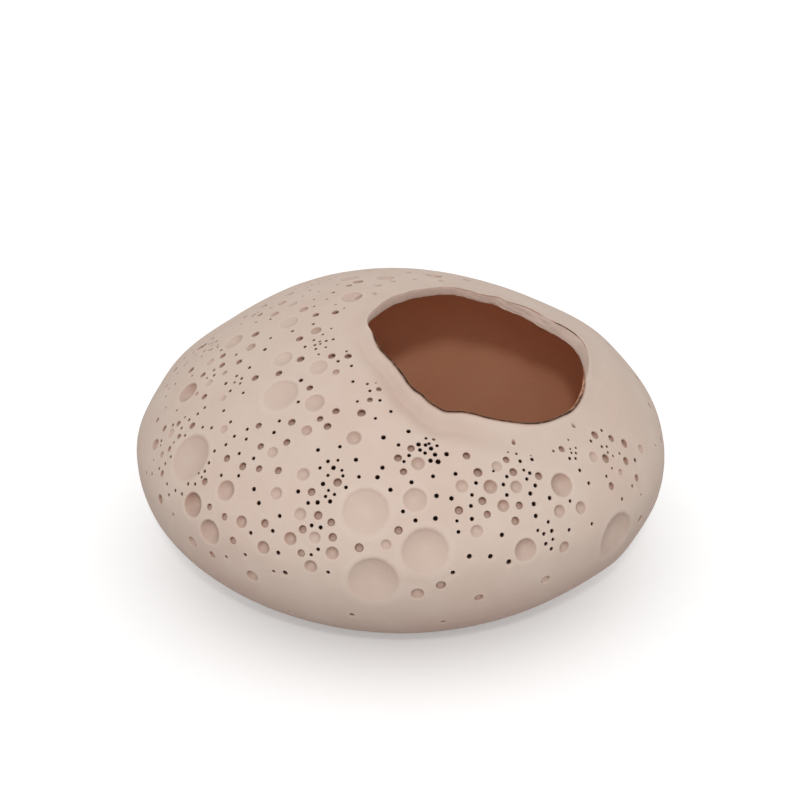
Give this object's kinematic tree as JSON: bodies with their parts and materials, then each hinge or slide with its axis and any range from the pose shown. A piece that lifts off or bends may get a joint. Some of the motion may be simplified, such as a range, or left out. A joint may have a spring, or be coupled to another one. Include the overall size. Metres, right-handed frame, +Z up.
{
  "type": "cachepot",
  "caption": "Low pebble-shaped cachepot of bare clay with a hand-torn off-centre mouth, a flat foot and a pitted outer skin.",
  "frame": {"origin": "middle of the flat foot, on the surface that the pot stands on", "axes": "+Z up through the crown; +X along the length, towards the side that the mouth leans to; -Y is the front, as seen in the picture"},
  "size_m": [0.28, 0.272, 0.1525],
  "materials": {
    "bare_clay": "matte unglazed pale pink-beige clay, smoothed by hand"
  },
  "bodies": {
    "root": {"upper_dome": "bare_clay", "lower_bowl": "bare_clay", "mouth_strip": "bare_clay"}
  },
  "joints": []
}
